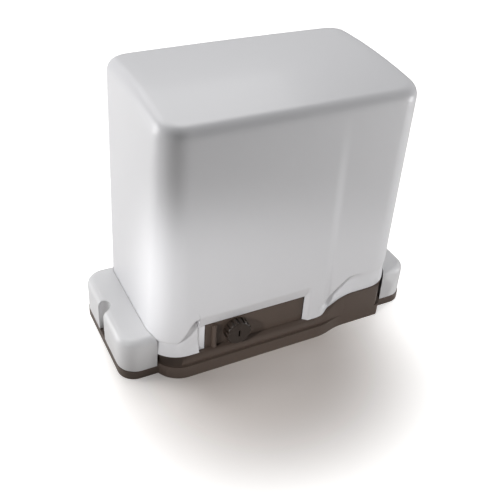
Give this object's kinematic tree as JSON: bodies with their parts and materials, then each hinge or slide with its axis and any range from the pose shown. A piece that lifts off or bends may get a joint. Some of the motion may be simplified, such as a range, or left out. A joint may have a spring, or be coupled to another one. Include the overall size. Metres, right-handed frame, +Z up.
{
  "type": "sliding gate motor",
  "caption": "Sliding gate operator: tall moulded hood and two foot covers on a dark cast base, with a release lever, worm gearbox and output pinion.",
  "frame": {"origin": "middle of the footprint at floor level", "axes": "+X along the gate travel, -Y towards the operator and the release door, +Z up"},
  "size_m": [0.348, 0.2075, 0.29],
  "materials": {
    "hood": "satin light grey",
    "covers": "satin light grey",
    "base": "satin brown-grey",
    "door": "satin brown-grey",
    "knob": "satin brown-black",
    "zinc": "zinc plated",
    "steel": "ground",
    "gear_steel": "machined, oiled",
    "cast_aluminium": "as cast",
    "bronze": "machined bronze",
    "laminations": "stacked sheet edges",
    "copper": "enamelled wire",
    "coil_tape": "yellow tape",
    "black_plastic": "moulded",
    "green_plastic": "moulded",
    "board": "solder resist",
    "button_plastic": "moulded",
    "capacitor": "drawn can",
    "rubber": "matt",
    "spring_steel": "bright"
  },
  "bodies": {
    "housing": {"base": "base", "gear_case_rear": "cast_aluminium", "gear_case_front": "cast_aluminium", "case_feet_bolts": "zinc", "case_screws": "zinc", "worm_bearing_lower": "steel", "worm_bearing_upper": "steel", "output_bearing": "steel", "output_bush": "bronze", "output_seal": "rubber", "motor_flange": "cast_aluminium", "motor_flange_bolts": "zinc", "stator_housing": "cast_aluminium", "stator_core": "laminations", "stator_windings": "copper", "motor_end_shield": "cast_aluminium", "motor_bearing_top": "steel", "motor_tie_bolts": "zinc", "board_carrier": "black_plastic", "control_board": "board", "board_terminals": "green_plastic", "board_relays": "black_plastic", "board_components": "black_plastic", "button_bases": "black_plastic", "board_screws": "zinc", "transformer_core": "laminations", "transformer_coil": "coil_tape", "run_capacitor": "capacitor", "capacitor_clamp": "steel", "cable_grommet": "rubber", "limit_switch": "black_plastic", "release_pin": "zinc"},
    "hood_cover": {"hood": "hood", "hood_screws": "zinc"},
    "left_cover": {"foot_cover_left": "covers", "foot_cover_screw_left": "zinc"},
    "right_cover": {"foot_cover_right": "covers", "foot_cover_screw_right": "zinc"},
    "release_lever": {"release_door": "door"},
    "lock": {"lock_knob": "knob", "lock_bolt": "zinc"},
    "release_rod": {"release_slide": "steel"},
    "rotor": {"worm_shaft": "steel", "rotor_core": "laminations"},
    "wheel": {"worm_wheel": "bronze"},
    "output": {"output_shaft": "steel", "pinion": "gear_steel", "pinion_key": "steel", "pinion_washer": "zinc", "pinion_bolt": "zinc", "output_sleeve": "steel"},
    "clutch": {"clutch_plunger": "steel", "clutch_pin": "steel"},
    "down_button": {"button_down": "button_plastic"},
    "enter_button": {"button_enter": "button_plastic"},
    "up_button": {"button_up": "button_plastic"},
    "limit_lever": {"limit_wand": "spring_steel"}
  },
  "joints": [
    {"name": "hood_lift", "type": "slide", "parent": "housing", "child": "hood_cover", "axis": [0, 0, 1], "range_m": [0, 0.3]},
    {"name": "left_cover_lift", "type": "slide", "parent": "housing", "child": "left_cover", "axis": [0, 0, 1], "range_m": [0, 0.08]},
    {"name": "right_cover_lift", "type": "slide", "parent": "housing", "child": "right_cover", "axis": [0, 0, 1], "range_m": [0, 0.08]},
    {"name": "release_swing", "type": "hinge", "parent": "housing", "child": "release_lever", "pos_m": [0.015, -0.0865, 0.043], "axis": [0, 0, 1], "range_deg": [0, 90]},
    {"name": "lock_turn", "type": "hinge", "parent": "release_lever", "child": "lock", "pos_m": [-0.055, -0.095, 0.043], "axis": [0, -1, 0], "range_deg": [0, 90]},
    {"name": "release_rod_slide", "type": "slide", "parent": "housing", "child": "release_rod", "axis": [0, 1, 0], "range_m": [0, 0.0075]},
    {"name": "worm_spin", "type": "hinge", "parent": "housing", "child": "rotor", "pos_m": [0.06, -0.0075, 0.085], "axis": [0, 0, 1], "continuous": true},
    {"name": "wheel_spin", "type": "hinge", "parent": "housing", "child": "wheel", "pos_m": [0, -0.0075, 0.085], "axis": [0, 1, 0], "continuous": true},
    {"name": "output_spin", "type": "hinge", "parent": "housing", "child": "output", "pos_m": [0, -0.0075, 0.085], "axis": [0, 1, 0], "continuous": true},
    {"name": "clutch_slide", "type": "slide", "parent": "output", "child": "clutch", "axis": [0, 1, 0], "range_m": [0, 0.0075]},
    {"name": "down_press", "type": "slide", "parent": "housing", "child": "down_button", "axis": [0, 1, 0], "range_m": [0, 0.0005], "stiffness_N_per_m": 400},
    {"name": "enter_press", "type": "slide", "parent": "housing", "child": "enter_button", "axis": [0, 1, 0], "range_m": [0, 0.0005], "stiffness_N_per_m": 400},
    {"name": "up_press", "type": "slide", "parent": "housing", "child": "up_button", "axis": [0, 1, 0], "range_m": [0, 0.0005], "stiffness_N_per_m": 400},
    {"name": "limit_swing", "type": "hinge", "parent": "housing", "child": "limit_lever", "pos_m": [0, 0.0715, 0.146], "axis": [0, 1, 0], "range_deg": [-30, 30], "stiffness_Nm_per_rad": 0.5}
  ],
  "couplings": [
    {"joint": "wheel_spin", "follows": "worm_spin", "ratio": 0.033333},
    {"joint": "output_spin", "follows": "worm_spin", "ratio": 0.033333},
    {"joint": "release_rod_slide", "follows": "release_swing", "m_per_rad": 0.0047747},
    {"joint": "clutch_slide", "follows": "release_swing", "m_per_rad": 0.0047747}
  ]
}
